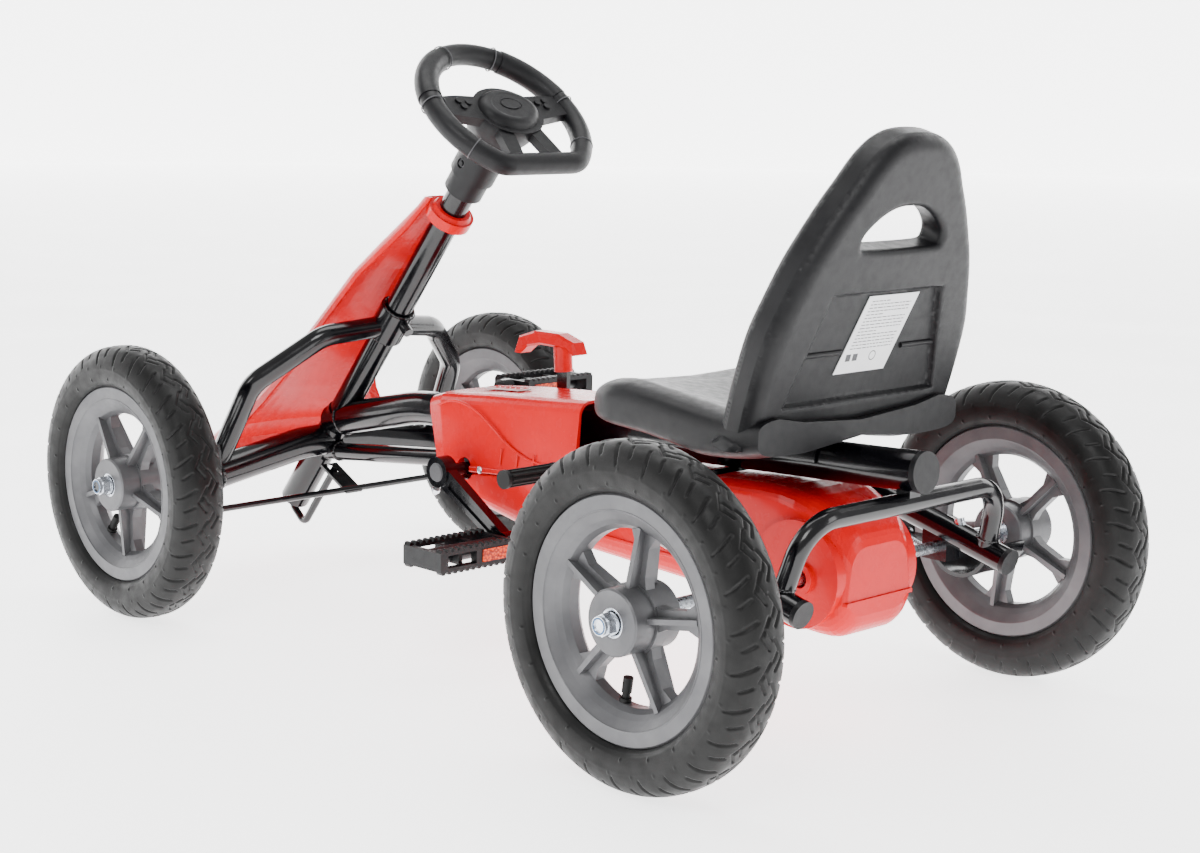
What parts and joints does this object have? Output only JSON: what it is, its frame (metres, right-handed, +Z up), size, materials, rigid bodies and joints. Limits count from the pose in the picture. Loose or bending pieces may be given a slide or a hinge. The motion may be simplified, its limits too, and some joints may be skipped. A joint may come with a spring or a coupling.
{
  "type": "pedal go kart",
  "caption": "Pedal go kart with pneumatic-tyred spoked wheels, tubular backbone frame, bucket seat, steering wheel, pedal cranks, chain covers and front shield.",
  "frame": {"origin": "on the floor at the middle of the wheelbase, on the centre line", "axes": "+X forward (driving direction), +Y to the driver's left, +Z up; the wheels turn about Y"},
  "size_m": [1.122, 0.6504, 0.6521],
  "materials": {
    "tyre": "satin moulded rubber",
    "rim_grey": "silver-grey satin",
    "rubber": "matt",
    "zinc": "bright zinc plated",
    "frame_black": "gloss black powder coat",
    "black_plastic": "fine grained satin",
    "red_plastic": "gloss",
    "reflector": "prismatic",
    "label_white": "satin film",
    "chain_steel": "oiled steel"
  },
  "bodies": {
    "frame": {"backbone_tube": "frame_black", "column_tube": "frame_black", "column_bushings": "black_plastic", "axle_beam_left": "frame_black", "axle_beam_right": "frame_black", "kingpin_bolts": "zinc", "front_arch_tube": "frame_black", "lower_frame_tube": "frame_black", "bottom_bracket": "frame_black", "side_rail_left": "frame_black", "side_rail_right": "frame_black", "rear_cross_tube": "frame_black", "rear_bumper": "frame_black", "end_caps": "black_plastic", "bearing_blocks": "frame_black", "frame_bolts": "zinc", "foot_peg_bar": "frame_black", "foot_peg_grips": "rubber", "chain": "chain_steel", "guard_front": "red_plastic", "guard_rear": "red_plastic", "guard_badge": "label_white", "front_fairing": "red_plastic"},
    "steering": {"steering_shaft": "frame_black", "steering_neck": "black_plastic", "steering_wheel": "black_plastic", "steering_pad": "black_plastic"},
    "tie_rod": {"tie_rod": "frame_black"},
    "knuckle_left": {"knuckle_left": "frame_black", "axle_nut_front_left": "zinc"},
    "knuckle_right": {"knuckle_right": "frame_black", "axle_nut_front_right": "zinc"},
    "wheel_front_left": {"tyre_front_left": "tyre", "rim_front_left": "rim_grey", "valve_front_left": "rubber"},
    "wheel_front_right": {"tyre_front_right": "tyre", "rim_front_right": "rim_grey", "valve_front_right": "rubber"},
    "wheel_rear_left": {"tyre_rear_left": "tyre", "rim_rear_left": "rim_grey", "valve_rear_left": "rubber"},
    "drive_axle": {"rear_axle": "zinc", "rear_spacers": "zinc", "axle_nuts_rear": "zinc", "rear_sprocket": "chain_steel", "tyre_rear_right": "tyre", "rim_rear_right": "rim_grey", "valve_rear_right": "rubber"},
    "crank": {"crank_arms": "frame_black", "chainring": "chain_steel"},
    "pedal_left": {"pedal_left": "black_plastic", "pedal_reflectors_left": "reflector"},
    "pedal_right": {"pedal_right": "black_plastic", "pedal_reflectors_right": "reflector"},
    "seat": {"seat": "black_plastic", "seat_bracket": "frame_black", "seat_label": "label_white"},
    "brake_lever": {"brake_lever": "frame_black", "brake_handle": "red_plastic"},
    "brake_shoe": {"brake_shoe": "frame_black"}
  },
  "joints": [
    {"name": "steering_turn", "type": "hinge", "parent": "frame", "child": "steering", "pos_m": [0.176, 0, 0.463], "axis": [-0.6292, 0, 0.7772], "range_deg": [-30, 30]},
    {"name": "tie_rod_slide", "type": "slide", "parent": "frame", "child": "tie_rod", "axis": [0, 1, 0], "range_m": [-0.0172, 0.0172]},
    {"name": "kingpin_left", "type": "hinge", "parent": "frame", "child": "knuckle_left", "pos_m": [0.405, 0.205, 0.156], "axis": [0, 0, 1], "range_deg": [-23, 23]},
    {"name": "kingpin_right", "type": "hinge", "parent": "frame", "child": "knuckle_right", "pos_m": [0.405, -0.205, 0.156], "axis": [0, 0, 1], "range_deg": [-23, 23]},
    {"name": "front_left_spin", "type": "hinge", "parent": "knuckle_left", "child": "wheel_front_left", "pos_m": [0.405, 0.279, 0.156], "axis": [0, 1, 0], "continuous": true},
    {"name": "front_right_spin", "type": "hinge", "parent": "knuckle_right", "child": "wheel_front_right", "pos_m": [0.405, -0.279, 0.156], "axis": [0, 1, 0], "continuous": true},
    {"name": "drive_axle_spin", "type": "hinge", "parent": "frame", "child": "drive_axle", "pos_m": [-0.405, 0, 0.156], "axis": [0, 1, 0], "continuous": true},
    {"name": "rear_left_spin", "type": "hinge", "parent": "frame", "child": "wheel_rear_left", "pos_m": [-0.405, 0.279, 0.156], "axis": [0, 1, 0], "continuous": true},
    {"name": "crank_spin", "type": "hinge", "parent": "frame", "child": "crank", "pos_m": [0.08, 0, 0.192], "axis": [0, 1, 0], "continuous": true},
    {"name": "pedal_left_spin", "type": "hinge", "parent": "crank", "child": "pedal_left", "pos_m": [-0.02533, 0.15, 0.13045], "axis": [0, 1, 0], "continuous": true},
    {"name": "pedal_right_spin", "type": "hinge", "parent": "crank", "child": "pedal_right", "pos_m": [0.18533, -0.15, 0.25355], "axis": [0, 1, 0], "continuous": true},
    {"name": "seat_adjust", "type": "slide", "parent": "frame", "child": "seat", "axis": [0.9993, 0, -0.0371], "range_m": [0, 0.06]},
    {"name": "brake_lever_pivot", "type": "hinge", "parent": "frame", "child": "brake_lever", "pos_m": [0.06, -0.069, 0.232], "axis": [0, -1, 0], "range_deg": [0, 18]},
    {"name": "brake_shoe_pivot", "type": "hinge", "parent": "frame", "child": "brake_shoe", "pos_m": [-0.331, -0.19, 0.151], "axis": [0, 1, 0], "range_deg": [0, 1.6]}
  ],
  "couplings": [
    {"joint": "tie_rod_slide", "follows": "steering_turn", "m_per_rad": -0.03247},
    {"joint": "kingpin_left", "follows": "steering_turn", "ratio": 0.7577},
    {"joint": "kingpin_right", "follows": "steering_turn", "ratio": 0.7577},
    {"joint": "crank_spin", "follows": "drive_axle_spin", "ratio": 1.0769},
    {"joint": "brake_shoe_pivot", "follows": "brake_lever_pivot", "ratio": 0.08}
  ]
}
